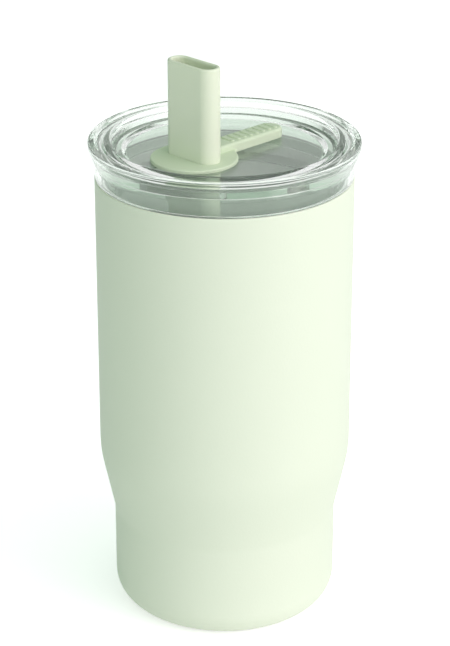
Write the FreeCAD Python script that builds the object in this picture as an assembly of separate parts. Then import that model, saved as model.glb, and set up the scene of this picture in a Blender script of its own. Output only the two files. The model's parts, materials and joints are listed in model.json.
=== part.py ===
import FreeCAD, Part
import math
import os

# Insulated travel mug: a stepped double-wall steel body, a clear push-in lid with a raised rim,
# a soft stopper with a pull tab, and a flat oval drinking straw that passes through the stopper.
# Millimetres. The origin is the centre of the standing ring, +Z is up, and +Y is the way that
# the tab points from the straw.

# Steel body, outside
barrel_r = 42.0
foot_r = 37.4
body_height = 152.4
taper_low_z = 34.4
taper_high_z = 55.6
taper_low_blend = 12.0
taper_high_blend = 40.0
base_corner_r = 9.5
lip_corner_r = 0.5
sheet = 0.5

# How far the flats of a rounded corner may lie inside its true arc: where it shows from outside,
# and where it is hidden
shown_depth = 0.33
hidden_depth = 0.7

# Standing ring and the closing discs under the body
ring_width = 2.4
ring_leg = 3.6
base_flange = 1.8
dimple_r = 5.0
dimple_depth = 1.2
evacuation_hole_r = 1.2
cover_recess = 0.9
cover_edge = 0.4
cover_fit = 0.1

# Steel cup inside, and what lies in the vacuum
vacuum_gap = 2.2
floor_gap = 4.5
cup_corner_r = 9.0
foil_thickness = 0.15
foil_gap = 0.1
foil_end_margin = 8.0
bead_gap = 0.1
bead_height = 1.6
bead_taper = 0.9
getter_r = 3.6
getter_height = 1.5
getter_offset = 14.0
clip_sheet = 0.3
clip_foot = 2.5
clip_width = 4.0

# Clear lid. Each rise is a height above the body's mouth.
lid_wall = 2.0
lid_seat_gap = 0.3
skirt_inset = 0.15
skirt_height = 4.4
rim_r = 44.0
rim_rise = 12.0
rim_band = 2.2
rim_corner = 0.6
rim_wall = 2.1
valley_r = 40.9
valley_rise = 11.6
crest_r = 37.0
crest_rise = 12.4
crest_corner = 1.2
bowl_foot_r = 35.0
deck_rise = 9.1
dish_rise = 8.0
dish_r = 31.6
dish_slope = 1.5
plug_depth = 9.4
plug_clearance = 0.6
plug_wall = 2.6
plug_chamfer = 0.8
groove_above_end = 3.0
groove_height = 3.6
groove_depth = 1.5

# Gasket on the lid's plug
fin_count = 2
fin_gap = 0.1

# Straw, a flat oval tube
straw_width = 20.5
straw_depth = 7.8
straw_wall = 1.4
straw_rise = 40.1
straw_foot_gap = 6.0
straw_lip = 0.45
straw_notch_r = 3.2
spout_y = -13.5

# Stopper with its pull tab
stopper_fit = 0.1
straw_fit = 0.06
stopper_wall = 1.7
stopper_seat_gap = 0.05
flange_overlap = 2.0
flange_thickness = 1.1
flange_edge = 0.35
stopper_depth = 3.2
stopper_lead_in = 0.4
tab_width = 8.4
tab_height = 3.2
tab_end_y = 24.6
tab_edge = 0.7
tab_start_gap = 1.2
tab_blend_r = 4.0
rib_count = 8
rib_pitch = 2.8
rib_width = 1.1
rib_length = 5.2
rib_height = 0.35
rib_end_margin = 3.6
peg_r = 1.9
peg_fit = 0.1
peg_length = 2.7
peg_inset = 5.6
vent_flat = 0.6

os.makedirs("parts", exist_ok=True)


def flat(x, y):
    """Vector in the section plane: x is the distance from the axis, y is the height."""
    return FreeCAD.Vector(x, 0, y)


def rounded(before, here, after, fillet, depth):
    """Points that stand for one corner's fillet: even chords of its arc, none over the depth.

    A corner that lies closer to its arc than half the depth stays sharp.
    """
    back = (before - here).normalize()
    ahead = (after - here).normalize()
    half = back.getAngle(ahead) / 2
    if fillet * (1 / math.sin(half) - 1) <= depth / 2:
        return [here]
    reach = fillet / math.tan(half)
    middle = here + (back + ahead).normalize() * (fillet / math.sin(half) - fillet)
    arc = Part.Arc(here + back * reach, middle, here + ahead * reach).toShape()
    widest = 2 * math.acos(max(1 - depth / fillet, 0))
    return arc.discretize(math.ceil((math.pi - 2 * half) / widest) + 1)


def outline(points, depth=shown_depth):
    """Corner points of a profile of (radius, height, fillet) corners, each rounded by chords."""
    corners = []
    for i in range(1, len(points) - 1):
        before, here, after = (flat(x, y) for x, y, fillet in points[i - 1:i + 2])
        corners += rounded(before, here, after, points[i][2], depth)
    return [flat(*points[0][:2])] + corners + [flat(*points[-1][:2])]


def turned(corners):
    """Solid of revolution about the mug's axis from the corner points of a closed section."""
    face = Part.Face(Part.makePolygon(corners + corners[:1]))
    return face.revolve(FreeCAD.Vector(0, 0, 0), FreeCAD.Vector(0, 0, 1), 360)


def parallel(path, distance):
    """The path moved to its right by a distance, with its fillets kept concentric."""
    moved = []
    for i, (x, y, fillet) in enumerate(path):
        normals, headings = [], []
        for a, b in ((i - 1, i), (i, i + 1)):
            if a < 0 or b >= len(path):
                continue
            run = flat(path[b][0] - path[a][0], path[b][1] - path[a][1]).normalize()
            headings.append(run)
            normals.append(flat(run.z, -run.x))
        if len(normals) == 1:
            shift = normals[0] * distance
        else:
            shift = (normals[0] + normals[1]) * (distance / (1 + normals[0].dot(normals[1])))
            right_turn = headings[0].z * headings[1].x - headings[0].x * headings[1].z > 0
            fillet = fillet - distance if right_turn else fillet + distance
        moved.append((x + shift.x, y + shift.z, max(fillet, 0.0)))
    return moved


def pressed_sheet(path, thickness, depth=shown_depth):
    """Section of a metal sheet: one face follows the path, and a hidden one lies to its right."""
    return outline(path, depth) + outline(parallel(path, thickness), hidden_depth)[::-1]


def export(shape, name):
    """Write one named piece, checked to be sound."""
    shape = shape.removeSplitter()
    if not shape.isValid():
        raise ValueError(name + " is not a sound solid")
    shape.exportStep("parts/" + name + ".step")
    print(name, "solids", len(shape.Solids), "volume", round(shape.Volume, 1))
    return shape


def slot_face(width, depth, centre_y, z):
    """Flat oval, width along X and depth along Y, with fully round ends."""
    end_r = depth / 2
    half = width / 2 - end_r
    corners = [FreeCAD.Vector(-half, centre_y - end_r, z), FreeCAD.Vector(half, centre_y - end_r, z),
               FreeCAD.Vector(half, centre_y + end_r, z), FreeCAD.Vector(-half, centre_y + end_r, z)]
    right = Part.Arc(corners[1], FreeCAD.Vector(half + end_r, centre_y, z), corners[2])
    left = Part.Arc(corners[3], FreeCAD.Vector(-half - end_r, centre_y, z), corners[0])
    edges = [Part.makeLine(corners[0], corners[1]), right.toShape(),
             Part.makeLine(corners[2], corners[3]), left.toShape()]
    return Part.Face(Part.Wire(edges))


# Outer shell: pressed from one tube, tapered to a narrow foot that drops into a cup holder,
# turned in at the mouth, and turned under and up again to make the standing ring.
cup_out_r = barrel_r - sheet - vacuum_gap
cup_r = cup_out_r - sheet
ring_r = foot_r - base_corner_r - ring_width
shell_wall = [(barrel_r, body_height, lip_corner_r),
              (barrel_r, taper_high_z, taper_high_blend),
              (foot_r, taper_low_z, taper_low_blend),
              (foot_r, 0, base_corner_r)]
shell_path = [(cup_out_r, body_height, 0)] + shell_wall
shell_path += [(ring_r, 0, 0), (ring_r, ring_leg, 0)]
outer_shell = export(turned(pressed_sheet(shell_path, sheet)), "outer_shell")

# Vacuum base: flanged disc welded inside the standing ring, drawn up at its middle into a
# dimple with the hole through which the air between the walls is drawn off.
base_z = ring_leg
dimple_slope = dimple_depth
base_path = [(ring_r, base_z - base_flange, 0),
             (ring_r, base_z, 0),
             (dimple_r, base_z, 0),
             (dimple_r - dimple_slope, base_z + dimple_depth, 0),
             (evacuation_hole_r, base_z + dimple_depth, 0)]
vacuum_base = export(turned(pressed_sheet(base_path, -sheet)), "vacuum_base")

# Seal bead: glass melted into the dimple, under the evacuation hole.
bead_r = dimple_r - dimple_slope - sheet - bead_gap
bead_top = base_z + dimple_depth - sheet - bead_gap
bead_low = bead_top - bead_height
bead = [(0, bead_low), (bead_r - bead_taper, bead_low), (bead_r, bead_top), (0, bead_top)]
seal_bead = export(turned([flat(x, y) for x, y in bead]), "seal_bead")

# Base cover: thin stamped disc pressed into the base, hiding the bead, clear of the table.
cover_r = ring_r - sheet - cover_fit
cover_path = [(cover_r, cover_recess + sheet + cover_edge, 0),
              (cover_r, cover_recess, 0),
              (0, cover_recess, 0)]
base_cover = export(turned(pressed_sheet(cover_path, sheet)), "base_cover")

# Inner cup: drawn steel cup that keeps one vacuum gap from the shell all the way down.
cup_under_z = base_z + floor_gap
cup_wall = parallel(shell_wall, sheet + vacuum_gap)[:3]
cup_path = [(cup_wall[0][0], body_height, 0)] + cup_wall[1:]
cup_path += [(foot_r - sheet - vacuum_gap, cup_under_z, cup_corner_r + sheet), (0, cup_under_z, 0)]
inner_cup = export(turned(pressed_sheet(cup_path, sheet, hidden_depth)), "inner_cup")
cup_floor_z = cup_under_z + sheet

# Heat foil: copper foil wrapped round the straight part of the cup, in the vacuum.
foil_low_z = taper_high_z + foil_end_margin
foil_high_z = body_height - foil_end_margin
foil_in_r = cup_out_r + foil_gap
foil_out_r = foil_in_r + foil_thickness
foil = [(foil_in_r, foil_low_z), (foil_out_r, foil_low_z),
        (foil_out_r, foil_high_z), (foil_in_r, foil_high_z)]
heat_foil = export(turned([flat(x, y) for x, y in foil]), "heat_foil")

# Getter: pellet that takes up stray gas, strapped to the base inside the vacuum.
getter_centre = FreeCAD.Vector(getter_offset, 0, base_z)
getter_pellet = export(Part.makeCylinder(getter_r, getter_height, getter_centre), "getter_pellet")
clip_half = getter_r + clip_sheet + cover_fit
clip_top = base_z + getter_height + cover_fit
strap = Part.makeBox(clip_width, 2 * clip_half, clip_top + clip_sheet - base_z,
                     FreeCAD.Vector(getter_offset - clip_width / 2, -clip_half, base_z))
hollow = Part.makeBox(clip_width, 2 * (clip_half - clip_sheet), clip_top - base_z,
                      FreeCAD.Vector(getter_offset - clip_width / 2, clip_sheet - clip_half, base_z))
feet = Part.makeBox(clip_width, 2 * (clip_half + clip_foot), clip_sheet,
                    FreeCAD.Vector(getter_offset - clip_width / 2, -clip_half - clip_foot, base_z))
getter_clip = export(strap.fuse(feet).cut(hollow), "getter_clip")

# Lid: one clear moulding. The rim stands round a shallow valley, from which a soft crest rises
# over the plug ring. Inside the crest the deck lies low, with a round dish sunk in it. The skirt
# meets the body's mouth, and the plug ring reaches down into the cup.
rim_top_z = body_height + rim_rise
valley_z = body_height + valley_rise
crest_z = body_height + crest_rise
deck_z = body_height + deck_rise
dish_z = body_height + dish_rise
skirt_r = barrel_r - skirt_inset
skirt_low_z = body_height + lid_seat_gap
flare_z = skirt_low_z + skirt_height
plug_r = cup_r - plug_clearance
plug_low_z = body_height - plug_depth
groove_low_z = plug_low_z + groove_above_end
groove_high_z = groove_low_z + groove_height
gasket_in_r = plug_r - groove_depth
under_z = valley_z - lid_wall
lid_section = [
    (skirt_r - lid_wall, skirt_low_z, 0),
    (skirt_r, skirt_low_z, 0),
    (skirt_r, flare_z, 0),
    (rim_r, rim_top_z - rim_band, 0),
    (rim_r, rim_top_z, rim_corner),
    (rim_r - rim_wall, rim_top_z, 0),
    (valley_r, valley_z, 0),
    (crest_r, crest_z, crest_corner),
    (bowl_foot_r, deck_z, 0),
    (dish_r + dish_slope, deck_z, 0),
    (dish_r, dish_z, 0),
    (0, dish_z, 0),
    (0, dish_z - lid_wall, 0),
    (plug_r - plug_wall, dish_z - lid_wall, 0),
    (plug_r - plug_wall, plug_low_z, 0),
    (plug_r - plug_chamfer, plug_low_z, 0),
    (plug_r, plug_low_z + plug_chamfer, 0),
    (plug_r, groove_low_z, 0),
    (gasket_in_r, groove_low_z, 0),
    (gasket_in_r, groove_high_z, 0),
    (plug_r, groove_high_z, 0),
    (plug_r, under_z, 0),
    (skirt_r - lid_wall, under_z, 0),
]
hole_depth = 3 * lid_wall
hole_low_z = dish_z - 2 * lid_wall
plug_width = straw_width + 2 * stopper_wall
plug_across = straw_depth + 2 * stopper_wall
spout_hole = slot_face(plug_width + 2 * stopper_fit, plug_across + 2 * stopper_fit, spout_y, hole_low_z)
spout_hole = spout_hole.extrude(FreeCAD.Vector(0, 0, hole_depth))
peg_y = tab_end_y - peg_inset
peg_hole = Part.makeCylinder(peg_r + peg_fit, hole_depth, FreeCAD.Vector(0, peg_y, hole_low_z))
lid_shell = export(turned(outline(lid_section)).cut(spout_hole).cut(peg_hole), "lid_shell")

# Gasket: soft ring in the plug's groove, with thin fins that wipe the cup's wall.
fin_r = cup_r - fin_gap
fin_space = groove_height / fin_count
gasket = [(gasket_in_r, groove_high_z), (gasket_in_r, groove_low_z), (plug_r, groove_low_z)]
for i in range(fin_count):
    middle = groove_low_z + (i + 0.5) * fin_space
    gasket += [(fin_r, middle), (plug_r, middle + fin_space / 2)]
lid_gasket = export(turned([flat(x, y) for x, y in gasket]), "lid_gasket")

# Stopper: one soft moulding. A round flange lies on the dish and joins a raised pull tab, a
# short plug fills the oval hole in the dish, and a peg under the tab covers the air hole.
flange_r = plug_width / 2 + stopper_fit + flange_overlap
seat_z = dish_z + stopper_seat_gap
flange_top_z = seat_z + flange_thickness
tab_top_z = seat_z + tab_height
tab_half = tab_width / 2


def stopper_plan(z):
    """Flange and tab seen from above: a disc run into a round-ended strip by two concave arcs."""
    blend_x = tab_half + tab_blend_r
    blend_y = spout_y + math.sqrt((flange_r + tab_blend_r) ** 2 - blend_x ** 2)
    share = flange_r / (flange_r + tab_blend_r)
    on_disc = (blend_x * share, spout_y + (blend_y - spout_y) * share)
    half_turn = math.atan2(-(blend_y - on_disc[1]), -(blend_x - on_disc[0]))
    middle_angle = (half_turn - math.pi) / 2
    on_blend = (blend_x + tab_blend_r * math.cos(middle_angle),
                blend_y + tab_blend_r * math.sin(middle_angle))
    end_y = tab_end_y - tab_half
    right = [on_disc, on_blend, (tab_half, blend_y), (tab_half, end_y)]
    points = [FreeCAD.Vector(x, y, z) for x, y in right]
    mirror = [FreeCAD.Vector(-p.x, p.y, p.z) for p in points]
    far = FreeCAD.Vector(0, spout_y - flange_r, z)
    tip = FreeCAD.Vector(0, tab_end_y, z)
    edges = [Part.Arc(mirror[0], far, points[0]).toShape(),
             Part.Arc(points[0], points[1], points[2]).toShape(),
             Part.makeLine(points[2], points[3]),
             Part.Arc(points[3], tip, mirror[3]).toShape(),
             Part.makeLine(mirror[3], mirror[2]),
             Part.Arc(mirror[2], mirror[1], mirror[0]).toShape()]
    return Part.Face(Part.Wire(edges))


def tab_plan(z):
    """Raised part of the tab, from just behind the straw to the round end."""
    start_y = spout_y + straw_depth / 2 + tab_start_gap
    end_y = tab_end_y - tab_half
    corners = [FreeCAD.Vector(-tab_half, start_y, z), FreeCAD.Vector(tab_half, start_y, z),
               FreeCAD.Vector(tab_half, end_y, z), FreeCAD.Vector(-tab_half, end_y, z)]
    tip = Part.Arc(corners[2], FreeCAD.Vector(0, tab_end_y, z), corners[3]).toShape()
    edges = [Part.makeLine(corners[0], corners[1]), Part.makeLine(corners[1], corners[2]), tip,
             Part.makeLine(corners[3], corners[0])]
    return Part.Face(Part.Wire(edges))


def edges_at(shape, z):
    """Edges of a shape that lie at one height."""
    return [e for e in shape.Edges if abs(e.BoundBox.ZMin - z) < 1e-6 and abs(e.BoundBox.ZMax - z) < 1e-6]


plug_low = seat_z - stopper_depth
flange = stopper_plan(seat_z).extrude(FreeCAD.Vector(0, 0, flange_thickness))
flange = flange.makeChamfer(flange_edge, edges_at(flange, flange_top_z))
tab = tab_plan(seat_z).extrude(FreeCAD.Vector(0, 0, tab_height))
tab = tab.makeChamfer(tab_edge, edges_at(tab, tab_top_z))
plug = slot_face(plug_width, plug_across, spout_y, plug_low).extrude(FreeCAD.Vector(0, 0, stopper_depth))
plug = plug.makeChamfer(stopper_lead_in, edges_at(plug, plug_low))
peg = Part.makeCylinder(peg_r, peg_length, FreeCAD.Vector(0, peg_y, seat_z - peg_length))
vent = Part.makeBox(2 * peg_r, peg_r, peg_length,
                    FreeCAD.Vector(-peg_r, peg_y + peg_r - vent_flat, seat_z - peg_length))
stopper = flange.fuse([tab, plug, peg.cut(vent)])
for i in range(rib_count):
    rib_y = tab_end_y - rib_end_margin - i * rib_pitch
    corner = FreeCAD.Vector(-rib_length / 2, rib_y - rib_width / 2, tab_top_z - rib_height)
    stopper = stopper.fuse(Part.makeBox(rib_length, rib_width, 2 * rib_height, corner))
bore = slot_face(straw_width + 2 * straw_fit, straw_depth + 2 * straw_fit, spout_y, plug_low - 1)
stopper = stopper.cut(bore.extrude(FreeCAD.Vector(0, 0, stopper_depth + tab_height + 2)))
stopper = export(stopper, "stopper")

# Straw: flat oval tube with a soft rounded lip, notched at the foot so that it never seals
# against the floor of the cup.
straw_low_z = cup_floor_z + straw_foot_gap
straw_top_z = body_height + straw_rise
straw_length = straw_top_z - straw_low_z
tube = slot_face(straw_width, straw_depth, spout_y, straw_low_z).extrude(FreeCAD.Vector(0, 0, straw_length))
channel = slot_face(straw_width - 2 * straw_wall, straw_depth - 2 * straw_wall, spout_y, straw_low_z)
tube = tube.cut(channel.extrude(FreeCAD.Vector(0, 0, straw_length)))
tube = tube.makeChamfer(straw_lip, edges_at(tube, straw_top_z))
foot = FreeCAD.Vector(0, spout_y - straw_depth / 2, straw_low_z)
notch = Part.makeCylinder(straw_notch_r, straw_depth, foot, FreeCAD.Vector(0, 1, 0))
straw = export(tube.cut(notch), "straw")
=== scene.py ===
import json
import math

import bmesh
import bpy
import numpy as np
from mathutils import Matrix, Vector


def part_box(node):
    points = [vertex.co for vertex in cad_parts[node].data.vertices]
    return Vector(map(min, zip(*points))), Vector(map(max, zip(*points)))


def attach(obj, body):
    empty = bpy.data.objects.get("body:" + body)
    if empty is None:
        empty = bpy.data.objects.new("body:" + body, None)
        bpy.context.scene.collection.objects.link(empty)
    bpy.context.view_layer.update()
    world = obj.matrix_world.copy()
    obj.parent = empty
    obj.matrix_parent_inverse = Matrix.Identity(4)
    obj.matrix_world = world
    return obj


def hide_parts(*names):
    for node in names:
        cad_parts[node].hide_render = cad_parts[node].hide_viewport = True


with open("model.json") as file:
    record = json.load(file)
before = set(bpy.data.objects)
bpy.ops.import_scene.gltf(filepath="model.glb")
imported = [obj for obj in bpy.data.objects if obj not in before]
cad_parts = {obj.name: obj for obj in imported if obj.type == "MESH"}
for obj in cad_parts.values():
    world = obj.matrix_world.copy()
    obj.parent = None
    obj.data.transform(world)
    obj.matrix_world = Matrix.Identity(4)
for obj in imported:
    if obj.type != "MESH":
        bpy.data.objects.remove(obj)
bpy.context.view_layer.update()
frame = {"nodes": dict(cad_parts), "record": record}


# Outer shell: the painted steel wall, pressed from one tube with a narrow foot for cup holders.
# It is turned in at the mouth and under at the base, where it stands on a narrow ring. The
# powder coat stops half a millimetre inside the mouth's edge, and the turned lip is bare steel.
def section(corners, closed=True, turn_step=math.radians(6.0), hold=0.00015):
    """Points along a profile of (radius, height, fillet) corners.

    Each corner is an arc tangent to both runs, sampled at even angles: its centre lies on the
    bisector at fillet / sin(half the corner). A long run gets a point just inside each end, so
    that the shading of the arc doesn't spread along the straight.
    """
    here = np.array([c[:2] for c in corners], float)
    fillet = np.array([c[2] for c in corners], float)
    back = np.roll(here, 1, 0) - here
    ahead = np.roll(here, -1, 0) - here
    back /= np.linalg.norm(back, axis=1, keepdims=True)
    ahead /= np.linalg.norm(ahead, axis=1, keepdims=True)
    half = np.arccos(np.clip((back * ahead).sum(1), -1, 1)) / 2
    nearly_straight = math.radians(89.9)
    if not closed:
        fillet[[0, -1]] = 0
    pieces = []
    for i in range(len(here)):
        if fillet[i] <= 0 or half[i] > nearly_straight:
            pieces.append(here[i][None])
            continue
        bisector = back[i] + ahead[i]
        bisector /= np.linalg.norm(bisector)
        centre = here[i] + bisector * fillet[i] / math.sin(half[i])
        turn = math.pi - 2 * half[i]
        side = np.sign(back[i][0] * ahead[i][1] - back[i][1] * ahead[i][0])
        start = here[i] + back[i] * fillet[i] / math.tan(half[i]) - centre
        angles = -side * np.linspace(0, turn, max(3, int(turn / turn_step) + 2))
        cos, sin = np.cos(angles), np.sin(angles)
        spun = [start[0] * cos - start[1] * sin, start[0] * sin + start[1] * cos]
        pieces.append(centre + np.stack(spun, 1))
    path = []
    for i, piece in enumerate(pieces):
        path.append(piece)
        if i == len(pieces) - 1 and not closed:
            break
        after = pieces[(i + 1) % len(pieces)][0]
        run = after - piece[-1]
        length = np.linalg.norm(run)
        if length > 4 * hold:
            path.append(np.stack([piece[-1] + run * hold / length, after - run * hold / length]))
    return np.concatenate(path)


def skin(name, grid, wrap_rows=True, capped=False):
    """Mesh of a rows x columns grid of points, with its columns closed into rings.

    Face (i, j) joins points (i, j), (i, j+1), (i+1, j+1) and (i+1, j). A cap is one flat face
    on the first or last ring. Rings that meet in a point are merged, and faces point outwards.
    """
    rows, columns = grid.shape[:2]
    number = np.arange(rows * columns).reshape(rows, columns)
    caps = [number[0].tolist(), number[-1].tolist()] if capped else []
    if wrap_rows:
        number = np.concatenate([number, number[:1]])
    number = np.concatenate([number, number[:, :1]], 1)
    corners = [number[:-1, :-1], number[:-1, 1:], number[1:, 1:], number[1:, :-1]]
    faces = np.stack(corners, -1).reshape(-1, 4)
    merge_reach, sliver = 2e-7, 1e-8
    mesh = bpy.data.meshes.new(name)
    mesh.from_pydata(grid.reshape(-1, 3).tolist(), [], faces.tolist() + caps)
    shape = bmesh.new()
    shape.from_mesh(mesh)
    bmesh.ops.remove_doubles(shape, verts=shape.verts, dist=merge_reach)
    bmesh.ops.dissolve_degenerate(shape, edges=shape.edges, dist=sliver)
    bmesh.ops.recalc_face_normals(shape, faces=shape.faces)
    shape.to_mesh(mesh)
    shape.free()
    piece = bpy.data.objects.new(name, mesh)
    bpy.context.scene.collection.objects.link(piece)
    smooth(piece)
    return piece


def smooth(piece):
    """Shade smooth, with every edge sharper than the crease kept crisp."""
    crease = math.radians(32)
    piece.data.polygons.foreach_set("use_smooth", np.ones(len(piece.data.polygons), bool))
    piece.data.set_sharp_from_angle(angle=crease)


def turned(name, corners, around=192):
    """A profile of (radius, height, fillet) corners carried once round the mug's axis."""
    path = section(corners)
    angle = np.linspace(0, 2 * math.pi, around, endpoint=False)
    ring = np.stack([np.cos(angle), np.sin(angle)], 1)
    height = np.broadcast_to(path[:, None, 1:], (len(path), around, 1))
    return skin(name, np.concatenate([path[:, None, :1] * ring, height], 2))


def parallel(corners, distance):
    """The profile moved to its right by a distance, mitred at corners, with concentric fillets."""
    moved = []
    points = np.array([c[:2] for c in corners], float)
    runs = np.diff(points, axis=0)
    runs /= np.linalg.norm(runs, axis=1, keepdims=True)
    sides = np.stack([runs[:, 1], -runs[:, 0]], 1)
    for i, (x, y, fillet) in enumerate(corners):
        before, after = sides[max(i - 1, 0)], sides[min(i, len(sides) - 1)]
        shift = (before + after) * distance / (1 + before @ after)
        if 0 < i < len(corners) - 1 and fillet > 0:
            right_turn = runs[i - 1][1] * runs[i][0] - runs[i - 1][0] * runs[i][1] > 0
            fillet = max(fillet - distance if right_turn else fillet + distance, 0.0)
        moved.append((x + shift[0], y + shift[1], fillet))
    return moved


def pressed(corners, sheet):
    """Closed profile of a sheet with one face on the corners and the other to their right."""
    return corners + parallel(corners, sheet)[::-1]


class Wire:
    """One output of a finish's nodes. Sums on wires add Math nodes."""

    def __init__(self, finish, socket):
        self.finish = finish
        self.socket = socket

    def maths(self, operation, *others):
        return self.finish.node("Math", {"operation": operation}, dict(enumerate((self,) + others)))

    def __add__(self, other):
        return self.maths("ADD", other)

    __radd__ = __add__

    def __mul__(self, other):
        return self.maths("MULTIPLY", other)

    __rmul__ = __mul__

    def __sub__(self, other):
        return self.maths("SUBTRACT", other)

    def __rsub__(self, other):
        return (self * -1.0) + other

    def __pow__(self, other):
        return self.maths("POWER", other)

    def between(self, low, high):
        """0 below low, 1 above high, and straight in between."""
        limits = {"Value": self, "From Min": low, "From Max": high}
        return self.finish.node("MapRange", {"clamp": True}, limits)


class Finish:
    """A material or world and its nodes."""

    def __init__(self, name, world=None):
        self.material = world or bpy.data.materials.new(name)
        self.material.use_nodes = True
        self.tree = self.material.node_tree
        self.tree.nodes.clear()

    def node(self, kind, settings=None, sockets=None, output=0):
        """Add a node: its settings first, then the values or wires of its sockets."""
        made = self.tree.nodes.new("ShaderNode" + kind)
        for key, value in (settings or {}).items():
            setattr(made, key, value)
        for key, value in (sockets or {}).items():
            if isinstance(value, Wire):
                self.tree.links.new(value.socket, made.inputs[key])
            else:
                made.inputs[key].default_value = value
        return Wire(self, made.outputs[output]) if len(made.outputs) else None

    def place(self):
        """Object coordinates, in metres."""
        return self.node("TexCoord", output="Object")

    def split(self, vector):
        """The X, Y and Z of a vector."""
        apart = self.node("SeparateXYZ", sockets={"Vector": vector})
        return [Wire(self, output) for output in apart.socket.node.outputs]

    def axes(self):
        """Distance from the mug's axis, and height."""
        x, y, z = self.split(self.place())
        return (x * x + y * y) ** 0.5, z

    def ray(self, kind):
        """1 for a ray of this kind, such as Camera or Shadow, and 0 for others."""
        return self.node("LightPath", output=f"Is {kind} Ray")

    def blend(self, share, first, second):
        """Colour that goes from the first to the second as the share goes from 0 to 1."""
        def rgba(colour):
            return colour if isinstance(colour, Wire) else (*colour, 1.0)

        # A colour Mix has its factor and colours on inputs 0, 6 and 7, and its result on output 2.
        mixed = {0: share, 6: rgba(first), 7: rgba(second)}
        return self.node("Mix", {"data_type": "RGBA"}, mixed, output=2)

    def grain(self, scale, detail=3.0, stretch=(1, 1, 1)):
        """Fractal noise on Object coordinates, with its features about 1 / scale metres across."""
        vector = self.node("Mapping", sockets={"Vector": self.place(), "Scale": stretch})
        return self.node("TexNoise", sockets={"Vector": vector, "Scale": scale, "Detail": detail})

    def bump(self, height, distance):
        """Normal of a surface whose relief goes from 0 to a distance in metres."""
        return self.node("Bump", sockets={"Height": height, "Distance": distance, "Strength": 1.0})

    def shade(self, sockets):
        """Principled surface with these sockets, joined to the output."""
        surface = self.node("BsdfPrincipled", sockets=sockets)
        self.node("OutputMaterial", sockets={"Surface": surface})
        return self.material


def colour(red, green, blue):
    """Linear colour of an 8-bit screen colour.

    The sRGB curve is ((value + 0.055) / 1.055) ^ 2.4, with value / 12.92 as its straight foot.
    """
    value = np.array([red, green, blue]) / 255
    curve = ((value + 0.055) / 1.055) ** 2.4
    return tuple(np.where(value > 0.04045, curve, value / 12.92).tolist())


def dress(piece, material, body, slot, *nodes):
    """Give a piece its material and the body it rides on, and hide the nodes it stands for. The
    slot is not used.
    """
    piece.data.materials.append(material)
    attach(piece, body)
    if nodes:
        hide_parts(*nodes)


shell_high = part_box("outer_shell")[1]
mounts = {mount["name"]: mount for mount in frame["record"]["mounts"]}
barrel_r = shell_high.x
foot_r = mounts["cup_holder_foot"]["dims"]["r_mm"] / 1000
mouth_z = shell_high.z
cup_low, cup_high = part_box("inner_cup")
cup_out_r = cup_high.x
ring_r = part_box("vacuum_base")[1].x
sheet = 0.0005
vacuum_gap = barrel_r - sheet - cup_out_r
taper_top, taper_low, ring_top = 0.0556, 0.0344, 0.0036
lip_round, shoulder_round, waist_round = 0.0005, 0.040, 0.012
heel_round, ring_round = 0.0095, 0.0008
shell_wall = [(barrel_r, mouth_z, lip_round),
              (barrel_r, taper_top, shoulder_round),
              (foot_r, taper_low, waist_round),
              (foot_r, 0.0, heel_round)]
shell_corners = [(cup_out_r, mouth_z, 0), *shell_wall,
                 (ring_r, 0.0, ring_round), (ring_r, ring_top, 0)]
paint = Finish("powder_coat")
radius, height = paint.axes()
mottle = paint.grain(9.0, 2.0)
fleck = paint.grain(2600.0, 2.0)
peel = paint.grain(1100.0, 3.0)
coat_edge_r = (barrel_r - 0.0006, barrel_r - 0.0004)
coat_edge_z = (mouth_z - 0.0012, mouth_z - 0.0008)
bare = (1.0 - radius.between(*coat_edge_r)) * height.between(*coat_edge_z)
# The lip's colour is painted shade: darker than stainless steel is, for the thin dark seam of the
# gap that shows under the lid.
lip_painted_shade = (0.34, 0.36, 0.33)
green = paint.blend(mottle.between(0.35, 0.65), colour(230, 238, 219), colour(233, 241, 222))
green = paint.blend(fleck.between(0.62, 0.75) * 0.3, green, colour(240, 245, 232))
# Inside the coat's edge the colour is the lip's painted shade.
shell_finish = paint.shade({
    "Base Color": paint.blend(bare, green, lip_painted_shade),
    "Metallic": bare,
    "Roughness": (0.47 + 0.08 * peel) * (1.0 - bare) + 0.28 * bare,
    "Normal": paint.bump(peel + fleck * 0.5, 0.00003),
})
shell = turned("shell_skin", pressed(shell_corners, sheet))
dress(shell, shell_finish, "mug", "powder_coat", "outer_shell")


# Inner cup: drawn stainless steel, turned to a satin finish, with fine rings round its wall.
# It hangs from the mouth, where its rim is welded to the shell, one vacuum gap inside it.
cup_wall = parallel(shell_wall, sheet + vacuum_gap)[:3]
cup_corners = [(cup_wall[0][0], mouth_z, 0)] + cup_wall[1:]
cup_corners += [(foot_r - sheet - vacuum_gap, cup_low.z, heel_round), (0, cup_low.z, 0)]
steel = Finish("cup_steel")
rings = steel.grain(6.0, 6.0, (1, 1, 420))
tarnish = steel.grain(28.0, 3.0)
# The cup's colour is painted reflection: a pale green, mostly not metallic, it stands in for the
# green-tinted light reflected inside the cup.
cup_finish = steel.shade({
    "Base Color": steel.blend(tarnish, (0.89, 0.95, 0.90), (0.93, 0.98, 0.94)),
    "Metallic": 0.22,
    "Roughness": 0.26 + 0.14 * rings,
    "Normal": steel.bump(rings, 0.00004),
})
cup = turned("cup_skin", pressed(cup_corners, sheet))
dress(cup, cup_finish, "mug", "cup_steel", "inner_cup")


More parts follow.
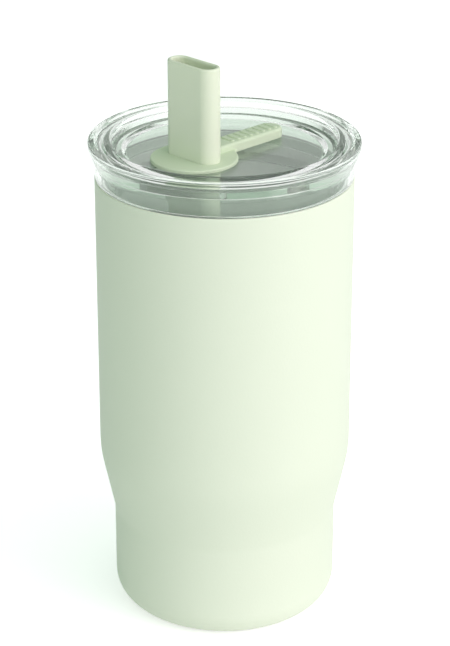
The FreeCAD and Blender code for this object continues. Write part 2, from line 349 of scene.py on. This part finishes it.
# Base cover: a thin stamped stainless disc pressed into the standing ring, brushed in circles,
# with one pressed groove. Behind it the vacuum base closes the shell, welded along its flange.
cover_low, cover_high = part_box("base_cover")
cover_r = cover_high.x
groove_r, groove_half, groove_rise = 0.0170, 0.0012, 0.0004
cover_corners = [(cover_r, cover_high.z, 0), (cover_r, cover_low.z, 0.0004),
                 (groove_r + groove_half, cover_low.z, 0.0003),
                 (groove_r + groove_half - groove_rise, cover_low.z + groove_rise, 0.0003),
                 (groove_r - groove_half + groove_rise, cover_low.z + groove_rise, 0.0003),
                 (groove_r - groove_half, cover_low.z, 0.0003),
                 (0, cover_low.z, 0)]


def brushed_steel(name, dark, light):
    """Stainless sheet brushed in circles about the mug's axis, with a few scuffs."""
    finish = Finish(name)
    radius = finish.axes()[0]
    circles = finish.node("TexNoise", {"noise_dimensions": "1D"}, {
        "W": radius, "Scale": 5200.0, "Detail": 4.0})
    scuffs = finish.grain(420.0, 4.0)
    return finish.shade({
        "Base Color": finish.blend(scuffs, dark, light),
        "Metallic": 1.0,
        "Roughness": 0.24 + 0.2 * circles,
        "Normal": finish.bump(circles, 0.00003),
    })


base_finish = brushed_steel("base_steel", (0.56, 0.56, 0.55), (0.66, 0.66, 0.64))
cover = turned("base_disc", pressed(cover_corners, sheet))
dress(cover, base_finish, "mug", "base_steel", "base_cover")


def refinish(node, material):
    """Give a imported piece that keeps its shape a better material."""
    slots = frame["nodes"][node].data.materials
    slots.clear()
    slots.append(material)


refinish("vacuum_base", brushed_steel("rolled_steel", (0.50, 0.50, 0.49), (0.60, 0.60, 0.58)))


# Seal bead: brown-grey sealing glass, melted over the hole through which the air was drawn off.
# It fuses to the dimple of the base and shows a few trapped bubbles.
glass = Finish("seal_glass")
bubbles = glass.node("TexVoronoi", {"feature": "F1"}, {"Vector": glass.place(), "Scale": 2200.0})
refinish("seal_bead", glass.shade({
    "Base Color": glass.blend(bubbles.between(0.1, 0.5), (0.30, 0.27, 0.23), (0.12, 0.10, 0.085)),
    "Roughness": 0.08 + 0.25 * bubbles,
    "Coat Weight": 0.6,
    "Normal": glass.bump(bubbles, 0.00004),
}))


# Heat foil: thin rolled copper wrapped round the cup inside the vacuum, with fine creases from
# winding it by hand. It lies loose on the cup and is hidden once the walls are welded.
copper = Finish("copper_foil")
tall = copper.node("Mapping", sockets={"Vector": copper.place(), "Scale": (1, 1, 0.35)})
creases = copper.node("TexVoronoi", {"feature": "DISTANCE_TO_EDGE"}, {
    "Vector": tall, "Scale": 160.0})
rolled = copper.grain(9.0, 4.0, (1, 1, 90))
refinish("heat_foil", copper.shade({
    "Base Color": copper.blend(rolled, (0.70, 0.36, 0.22), (0.83, 0.47, 0.31)),
    "Metallic": 1.0,
    "Roughness": 0.16 + 0.22 * rolled,
    "Normal": copper.bump(creases.between(0.0, 0.06), 0.00012),
}))


# Getter: a pressed pellet of grey powder that takes up stray gas, held on the vacuum base by a
# spot-welded strap of thin spring steel.
powder = Finish("getter_powder")
grit = powder.grain(3600.0, 5.0)
refinish("getter_pellet", powder.shade({
    "Base Color": powder.blend(grit, (0.10, 0.10, 0.105), (0.26, 0.26, 0.27)),
    "Roughness": 0.75 + 0.2 * grit,
    "Normal": powder.bump(grit, 0.00008),
}))
strap = Finish("strap_steel")
drawn = strap.grain(40.0, 5.0, (60, 1, 1))
refinish("getter_clip", strap.shade({
    "Base Color": strap.blend(drawn, (0.52, 0.52, 0.51), (0.66, 0.66, 0.64)),
    "Metallic": 1.0,
    "Roughness": 0.2 + 0.2 * drawn,
    "Normal": strap.bump(drawn, 0.00002),
}))


# Lid: one clear moulding in hard copolyester. The rim stands round a shallow valley, a soft
# crest rises over the plug ring, and inside it the deck lies low with a round dish sunk in it.
# The skirt meets the body's mouth, and the plug ring goes down into the cup.
lid_low, lid_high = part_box("lid_shell")
wall = 0.0020
plug_wall = 0.0026
rim_r = lid_high.x
rim_width, rim_depth = 0.0021, 0.0022
rim_top = mouth_z + 0.0120
valley_z = mouth_z + 0.0116
deck_z = mouth_z + 0.0091
dish_z = mouth_z + 0.0080
valley_r, crest_r, deck_r = 0.0409, 0.0370, 0.0350
crest_rise = 0.0009
skirt_r = barrel_r - 0.00015
skirt_low = mouth_z + 0.0003
flare_rise = 0.0044
dish_r, dish_slope = 0.0316, 0.0015
plug_gap, plug_chamfer, groove_depth = 0.0006, 0.0008, 0.0015
plug_r = cup_out_r - sheet - plug_gap
plug_low = lid_low.z
gasket_low, gasket_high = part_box("lid_gasket")
groove_low, groove_high = gasket_low.z, gasket_high.z
groove_in_r = plug_r - groove_depth
lid_corners = [
    (skirt_r - wall, skirt_low, 0.0002),
    (skirt_r, skirt_low, 0.0001),
    (skirt_r, skirt_low + flare_rise, 0.0030),
    (rim_r, rim_top - rim_depth, 0.0004),
    (rim_r, rim_top, 0.0007),
    (rim_r - rim_width, rim_top, 0.0005),
    (valley_r, valley_z, 0.0010),
    (crest_r, valley_z + crest_rise, 0.0011),
    (deck_r, deck_z, 0.0008),
    (dish_r + dish_slope, deck_z, 0.0004),
    (dish_r, dish_z, 0.0004),
    (0, dish_z, 0),
    (0, dish_z - wall, 0),
    (plug_r - plug_wall, dish_z - wall, 0.0005),
    (plug_r - plug_wall, plug_low, 0.0004),
    (plug_r - plug_chamfer, plug_low, 0.0004),
    (plug_r, plug_low + plug_chamfer, 0.0003),
    (plug_r, groove_low, 0),
    (groove_in_r, groove_low, 0.0002),
    (groove_in_r, groove_high, 0.0002),
    (plug_r, groove_high, 0),
    (plug_r, valley_z - wall, 0.0004),
    (skirt_r - wall, valley_z - wall, 0.0004),
]
clear = Finish("clear_plastic")
smear = clear.grain(70.0, 3.0)
clear_body = clear.node("BsdfPrincipled", sockets={
    "Base Color": clear.blend(smear, (0.955, 0.975, 0.958), (0.965, 0.983, 0.968)),
    "Roughness": 0.01 + 0.02 * smear,
    "Transmission Weight": 1.0,
    "IOR": 1.42,
})
# A little white haze lies in the clear body. Shadows, and light that has bounced five times or
# more, pass straight through it with a tint, which keeps its edges from going dark. The IOR above
# is lower than the plastic's own, about 1.54, to the same end.
haze_share = 0.04
bounces_kept = 4.5
haze = clear.node("BsdfDiffuse", sockets={"Color": (0.84, 0.91, 0.85, 1.0)})
hazy_body = clear.node("MixShader", sockets={0: haze_share, 1: clear_body, 2: haze})
shadow = clear.ray("Shadow")
bounced = clear.node("LightPath", output="Ray Depth").maths("GREATER_THAN", bounces_kept)
edge_tint = clear.node("BsdfTransparent", sockets={"Color": (0.70, 0.77, 0.71, 1.0)})
shadow_tint = clear.node("BsdfTransparent", sockets={"Color": (0.97, 0.985, 0.975, 1.0)})
straight = clear.node("MixShader", sockets={0: shadow, 1: edge_tint, 2: shadow_tint})
lid_surface = clear.node("MixShader", sockets={
    0: shadow.maths("MAXIMUM", bounced), 1: hazy_body, 2: straight})
clear.node("OutputMaterial", sockets={"Surface": lid_surface})
lid = turned("lid_clear", lid_corners, 256)


def oval(width, depth, centre_y, round_end=36):
    """Plan of a flat oval, anticlockwise: half a circle about each end of its spine."""
    end_x = (width - depth) / 2
    turn = np.linspace(-math.pi / 2, math.pi / 2, round_end)
    right = np.stack([end_x + np.cos(turn) * depth / 2, centre_y + np.sin(turn) * depth / 2], 1)
    left = np.stack([-end_x - np.cos(turn) * depth / 2, centre_y - np.sin(turn) * depth / 2], 1)
    return np.concatenate([right, left])


def round_plan(radius, centre_y):
    """Plan of a circle: an oval with a spine of only a thousandth of a millimetre."""
    return oval(2 * radius + 1e-6, 2 * radius, centre_y)


def rings_on(plan, path):
    """Rings of points on a plan: point = plan - outward * inset, at each height of a path.

    The path is of (inset, height) points, and outward is at right angles to the plan.
    """
    ahead = np.roll(plan, -1, 0) - np.roll(plan, 1, 0)
    outward = np.stack([ahead[:, 1], -ahead[:, 0]], 1)
    outward /= np.linalg.norm(ahead, axis=1, keepdims=True)
    spread = plan[None] - outward[None] * path[:, None, :1]
    rise = np.broadcast_to(path[:, None, 1:], (len(path), len(plan), 1))
    return np.concatenate([spread, rise], 2)


def slab(name, plan, corners, standing=True):
    """Closed solid on a plan, with a profile of (inset, height, fillet) corners.

    A slab that isn't standing has its heights along Y and its plan in X and Z.
    """
    path = section(corners, closed=False, turn_step=math.radians(15.0), hold=0.0001)
    grid = rings_on(plan, path)
    if not standing:
        grid = grid[:, :, [0, 2, 1]]
    return skin(name, grid, wrap_rows=False, capped=True)


def carve(piece, tools, operation="DIFFERENCE"):
    """Take the tools out of the piece, or fuse them to it, and remove the tools."""
    for tool in tools:
        change = piece.modifiers.new("carve", "BOOLEAN")
        change.operation = operation
        change.solver = "EXACT"
        change.object = tool
    solid = piece.evaluated_get(bpy.context.evaluated_depsgraph_get())
    piece.data = bpy.data.meshes.new_from_object(solid)
    piece.modifiers.clear()
    for tool in tools:
        bpy.data.objects.remove(tool)
    smooth(piece)


stopper_low, stopper_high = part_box("stopper")
straw_low, straw_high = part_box("straw")
straw_width = straw_high.x - straw_low.x
straw_depth = straw_high.y - straw_low.y
spout_y = (straw_low.y + straw_high.y) / 2
plug_edge = 0.0017
peg_y = stopper_high.y - 0.0056
peg_r = 0.0019
hole_gap = 0.0001
hole_reach = 0.004


def straw_plan(edge):
    """Plan of the straw's flat oval, grown by an edge all round."""
    return oval(straw_width + 2 * edge, straw_depth + 2 * edge, spout_y)


hole_sides = [(0, dish_z - hole_reach, 0), (0, dish_z + hole_reach, 0)]
spout_hole = slab("spout_hole", straw_plan(plug_edge + hole_gap), hole_sides)
peg_hole = slab("peg_hole", round_plan(peg_r + hole_gap, peg_y), hole_sides)
carve(lid, [spout_hole, peg_hole])
dress(lid, clear.material, "lid", "clear_plastic", "lid_shell")


# Gasket: a soft clear ring in the groove of the lid's plug, with two fins that wipe the cup's
# wall. It is stretched over the plug's end and is what holds the lid in the mouth.
fin_r = gasket_high.x
fin_space = (groove_high - groove_low) / 2
gasket_corners = [(groove_in_r, groove_high, 0.0002), (groove_in_r, groove_low, 0.0002),
                  (plug_r, groove_low, 0)]
for middle in (groove_low + fin_space / 2, groove_high - fin_space / 2):
    gasket_corners += [(fin_r, middle, 0.0002), (plug_r, middle + fin_space / 2, 0.0001)]
soft = Finish("clear_silicone")
dust = soft.grain(900.0, 3.0)
gasket_finish = soft.shade({
    "Base Color": soft.blend(dust, (0.74, 0.79, 0.74), (0.82, 0.86, 0.82)),
    "Roughness": 0.34 + 0.12 * dust,
    "Subsurface Weight": 0.3,
    "Subsurface Radius": (0.003, 0.003, 0.003),
    "Subsurface Scale": 1.0,
    "Normal": soft.bump(dust, 0.00001),
})
dress(turned("gasket_ring", gasket_corners), gasket_finish, "lid", "clear_silicone", "lid_gasket")


# Straw: a flat oval tube in satin polypropylene with a soft rounded lip, pushed through the
# stopper by hand. Its foot is notched, so that it never seals on the floor of the cup.
straw_wall = 0.0014
lip_fillet, foot_fillet = 0.00066, 0.0003
notch_r = 0.0032


def tube(name, plan, corners):
    """Walled tube on a plan: the closed profile of insets and heights carried round the plan."""
    path = section(corners, closed=True, turn_step=math.radians(12.0), hold=0.0003)
    return skin(name, rings_on(plan, path))


straw = tube("straw_tube", straw_plan(0.0), [
    (0.0, straw_low.z, foot_fillet), (0.0, straw_high.z, lip_fillet),
    (straw_wall, straw_high.z, lip_fillet), (straw_wall, straw_low.z, foot_fillet)])
notch_sides = [(0, spout_y - straw_depth, 0), (0, spout_y + straw_depth, 0)]
carve(straw, [slab("notch", round_plan(notch_r, straw_low.z), notch_sides, standing=False)])
plastic = Finish("straw_plastic")
cloud = plastic.grain(30.0, 2.0)
frost = plastic.grain(1800.0, 2.0)
straw_finish = plastic.shade({
    "Base Color": plastic.blend(
        cloud.between(0.3, 0.7), colour(228, 236, 213), colour(232, 240, 217)),
    "Roughness": 0.34 + 0.1 * frost,
    "Subsurface Weight": 0.15,
    "Subsurface Radius": (0.002, 0.002, 0.0016),
    "Subsurface Scale": 1.0,
    "Normal": plastic.bump(frost, 0.00001),
})
dress(straw, straw_finish, "straw", "green_plastic", "straw")


# Stopper: one matte silicone moulding in the body's green. Its round flange lies on the dish, a
# short oval plug fills the spout's hole round the straw, and a peg under the tab covers the air
# hole. The tab is thick, round-ended and ribbed for a finger to pull.
plug_depth, flange_thick, tab_thick = 0.0032, 0.0011, 0.0032
seat_z = stopper_low.z + plug_depth
flange_top = seat_z + flange_thick
tab_top = seat_z + tab_thick
tab_half = 0.0042
tab_end_y = stopper_high.y - tab_half
flange_r = straw_width / 2 + plug_edge + hole_gap + 0.0020
blend_r = 0.0040
ledge = 0.00005


def arc(x, y, radius, start, end, count=24):
    """Points of a circle's arc between two angles."""
    angle = np.linspace(start, end, count)
    return np.stack([x + radius * np.cos(angle), y + radius * np.sin(angle)], 1)


def keyhole(half):
    """Plan of the flange and tab: a disc run into a round-ended strip by two concave arcs."""
    side_x = half + blend_r
    side_y = spout_y + math.sqrt((flange_r + blend_r) ** 2 - side_x ** 2)
    lean = math.atan2(side_y - spout_y, side_x)
    return np.concatenate([
        arc(0, spout_y, flange_r, math.pi - lean, 2 * math.pi + lean, 96),
        arc(side_x, side_y, blend_r, math.pi + lean, math.pi)[1:],
        arc(0, tab_end_y, half, 0, math.pi, 36),
        arc(-side_x, side_y, blend_r, 0, -lean)[:-1]])


tab_start_y = spout_y + straw_depth / 2 + 0.0012
corner_r = 0.0010
tab_plan = np.concatenate([
    arc(-tab_half + corner_r, tab_start_y + corner_r, corner_r, math.pi, 1.5 * math.pi, 8),
    arc(tab_half - corner_r, tab_start_y + corner_r, corner_r, -0.5 * math.pi, 0, 8),
    arc(0, tab_end_y, tab_half, 0, math.pi, 36)])
stopper = slab("stopper_soft", keyhole(tab_half - ledge), [
    (0.0, seat_z, 0), (0.0, flange_top, 0.00045), (0.0012, flange_top, 0)])
tab = slab("tab", tab_plan, [
    (0, seat_z + 0.0003, 0), (0.0001, tab_top, 0.0009), (0.0016, tab_top, 0)])
plug = slab("plug", straw_plan(plug_edge), [
    (0.0004, stopper_low.z, 0), (0, stopper_low.z + 0.0004, 0.0002), (0, seat_z + 0.0005, 0)])
peg = slab("peg", round_plan(peg_r, peg_y), [
    (0.0003, seat_z - 0.0027, 0), (0, seat_z - 0.0024, 0.0002), (0, seat_z + 0.0005, 0)])
rib_width, rib_depth, rib_pitch, rib_count = 0.0056, 0.0013, 0.0028, 8
rib_end_y = stopper_high.y - 0.0036
rib_top = tab_top + 0.00035
rib_sides = [(0, tab_top - 0.0003, 0), (0, rib_top, 0.0003), (0.0005, rib_top, 0)]
ribs = [slab("rib", oval(rib_width, rib_depth, rib_end_y - i * rib_pitch, 10), rib_sides)
        for i in range(rib_count)]
carve(stopper, [tab, plug, peg] + ribs, "UNION")
bore_gap = 0.00006
bore_reach = 0.002
bore_sides = [(0, stopper_low.z - bore_reach, 0), (0, tab_top + bore_reach, 0)]
carve(stopper, [slab("bore", straw_plan(bore_gap), bore_sides)])
rubber = Finish("green_silicone")
bloom = rubber.grain(60.0, 3.0)
matte = rubber.grain(2400.0, 2.0)
dress(stopper, rubber.shade({
    "Base Color": rubber.blend(
        bloom.between(0.3, 0.7), colour(210, 223, 196), colour(215, 228, 201)),
    "Roughness": 0.55 + 0.1 * matte,
    "Subsurface Weight": 0.1,
    "Subsurface Radius": (0.002, 0.002, 0.0016),
    "Subsurface Scale": 1.0,
    "Normal": rubber.bump(matte, 0.00001),
}), "stopper", "green_silicone", "stopper")


# Studio: a white floor, one broad soft lamp on the right, and a graded sky for soft light: bright
# on the right, dim and greenish on the left. The camera stands at the photograph's angle, 23
# degrees above level.
camera_azimuth = math.radians(45.5)
camera_elevation = math.radians(23.34)
camera_distance = 0.76883
look_at = (0.0, 0.0, 0.099814)
picture_height = 646
focal_share = 2317.6 / picture_height
sensor = 36.0
camera_data = bpy.data.cameras.new("camera")
camera_data.sensor_width = sensor
camera_data.sensor_fit = "AUTO"
camera_data.lens = sensor * focal_share
camera_data.shift_x = 0.4 / picture_height
camera = bpy.data.objects.new("camera", camera_data)
bpy.context.scene.collection.objects.link(camera)
across = math.cos(camera_elevation)
camera.location = (look_at[0] + camera_distance * math.sin(camera_azimuth) * across,
                   look_at[1] - camera_distance * math.cos(camera_azimuth) * across,
                   look_at[2] + camera_distance * math.sin(camera_elevation))
camera.rotation_euler = (math.pi / 2 - camera_elevation, 0.0, camera_azimuth)
bpy.context.scene.camera = camera

lamp_turn = camera_azimuth + math.radians(55)
lamp_rise = math.radians(22)
lamp_distance = 1.3
lamp_data = bpy.data.lights.new("key", "AREA")
lamp_data.shape = "RECTANGLE"
lamp_data.size, lamp_data.size_y = 0.7, 1.0
lamp_data.energy = 3.8
lamp_data.color = (1.0, 0.97, 0.96)
lamp = bpy.data.objects.new("key", lamp_data)
bpy.context.scene.collection.objects.link(lamp)
lamp.location = (lamp_distance * math.sin(lamp_turn) * math.cos(lamp_rise),
                 -lamp_distance * math.cos(lamp_turn) * math.cos(lamp_rise),
                 lamp_distance * math.sin(lamp_rise) + look_at[2])
lamp.rotation_euler = (math.pi / 2 - lamp_rise, 0.0, lamp_turn)

# The floor glows a little for the camera, mirrors and glass, so that it shows white there. It lies
# a tenth of a millimetre low, clear of the standing ring's flat face.
floor_finish = Finish("floor_white")
paper = floor_finish.grain(40.0, 2.0)
floor_glow = 0.52
matte_floor = floor_finish.node("BsdfDiffuse", sockets={
    "Color": floor_finish.blend(paper, (0.93, 0.93, 0.93), (0.95, 0.95, 0.95))})
glow = floor_finish.node("Emission", sockets={"Color": (1, 1, 1, 1), "Strength": floor_glow})
glowing_floor = floor_finish.node("AddShader", sockets={0: matte_floor, 1: glow})
direct = floor_finish.ray("Camera") + floor_finish.ray("Glossy")
direct = (direct + floor_finish.ray("Transmission")).maths("MINIMUM", 1.0)
floor_surface = floor_finish.node("MixShader", sockets={
    0: direct, 1: matte_floor, 2: glowing_floor})
floor_finish.node("OutputMaterial", sockets={"Surface": floor_surface})
side = 3.0
drop = -0.0001
floor_corners = [(-side, -side, drop), (side, -side, drop), (side, side, drop), (-side, side, drop)]
floor_mesh = bpy.data.meshes.new("floor")
floor_mesh.from_pydata(floor_corners, [], [(0, 1, 2, 3)])
floor = bpy.data.objects.new("floor", floor_mesh)
floor.data.materials.append(floor_finish.material)
bpy.context.scene.collection.objects.link(floor)

# The sky is plain white to the camera, and a little less overhead to glass. For soft light and for
# mirrors its level is a middle value plus a swing towards the bright side, with a least value.
# Only its soft light is tinted.
soft_middle, soft_swing, soft_least = 0.70, 0.72, 0.03
mirror_middle, mirror_swing, mirror_least = 0.72, 0.4, 0.1
glass_zenith_loss = 0.2
dim_tint, bright_tint = (0.60, 1.14, 0.77), (0.97, 0.925, 0.955)
world = bpy.data.worlds.new("studio")
world.use_nodes = True
bpy.context.scene.world = world
sky = Finish("sky", world)
bright_turn = camera_azimuth + math.radians(50.0)
aim_x, aim_y, aim_z = sky.split(sky.node("TexCoord", output="Generated"))
bright = aim_x * math.sin(bright_turn) - aim_y * math.cos(bright_turn)
seen, mirrored, through = sky.ray("Camera"), sky.ray("Glossy"), sky.ray("Transmission")
spread = 1.0 - (seen + mirrored + through).maths("MINIMUM", 1.0)
soft_level = (soft_middle + soft_swing * bright).maths("MAXIMUM", soft_least)
mirror_level = (mirror_middle + mirror_swing * bright).maths("MAXIMUM", mirror_least)
glass_level = 1.0 - glass_zenith_loss * aim_z.between(0.3, 0.9)
bent_or_mirrored = through * glass_level + (1.0 - through) * mirrored * mirror_level
level = seen + (1.0 - seen) * bent_or_mirrored + spread * soft_level
side_tint = sky.blend(bright.between(-0.75, 0.45), dim_tint, bright_tint)
tint = sky.blend(spread, (1.0, 1.0, 1.0), side_tint)
background = sky.node("Background", sockets={"Color": tint, "Strength": level})
sky.node("OutputWorld", sockets={"Surface": background})
bpy.context.scene.view_settings.view_transform = "Standard"
